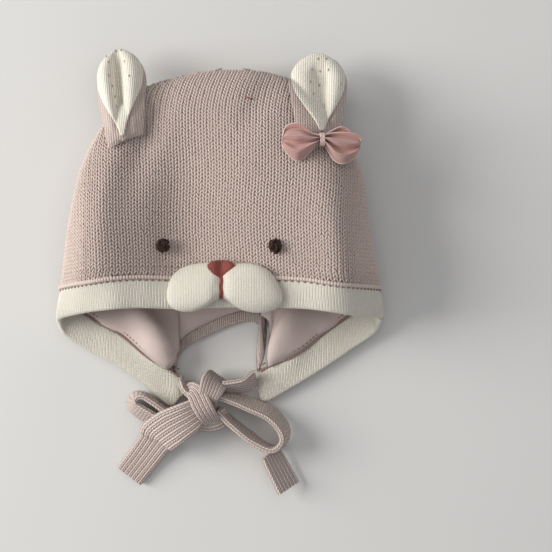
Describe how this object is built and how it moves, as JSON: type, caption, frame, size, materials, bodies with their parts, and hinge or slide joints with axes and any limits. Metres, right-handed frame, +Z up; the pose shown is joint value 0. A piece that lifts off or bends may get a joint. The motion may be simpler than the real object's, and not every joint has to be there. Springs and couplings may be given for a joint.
{
  "type": "baby hat with ears",
  "caption": "Knitted baby hat with two ears, a padded snout, a small bow and chin ties in a bow, lying on its back.",
  "frame": {"origin": "middle of the hat's footprint on the surface it rests on", "axes": "+Z up from the surface, +Y from the chin ties towards the ears, +X towards the ear with the bow"},
  "size_m": [0.184, 0.2505, 0.0597],
  "materials": {
    "taupe_knit": "stocking stitch, soft",
    "cream_knit": "fine rib, soft",
    "pink_jersey": "smooth jersey",
    "red_floss": "satin stitch",
    "brown_floss": "embroidery knots",
    "pink_ribbon": "ribbed ribbon"
  },
  "bodies": {
    "root": {"crown": "taupe_knit", "lining": "pink_jersey", "brim_band": "cream_knit", "neck_hem": "taupe_knit", "muzzle": "cream_knit", "nose": "red_floss", "eye_left": "brown_floss", "eye_right": "brown_floss", "ear_left_back": "taupe_knit", "ear_left_front": "cream_knit", "ear_right_back": "taupe_knit", "ear_right_front": "cream_knit", "tie_knot": "taupe_knit", "tie_lead_left": "taupe_knit", "tie_lead_right": "taupe_knit", "tie_loop_left": "taupe_knit", "tie_loop_right": "taupe_knit", "tie_tail_left": "taupe_knit", "tie_tail_right": "taupe_knit", "bow_wrap": "pink_ribbon", "bow_left": "pink_ribbon", "bow_right": "pink_ribbon"}
  },
  "joints": []
}
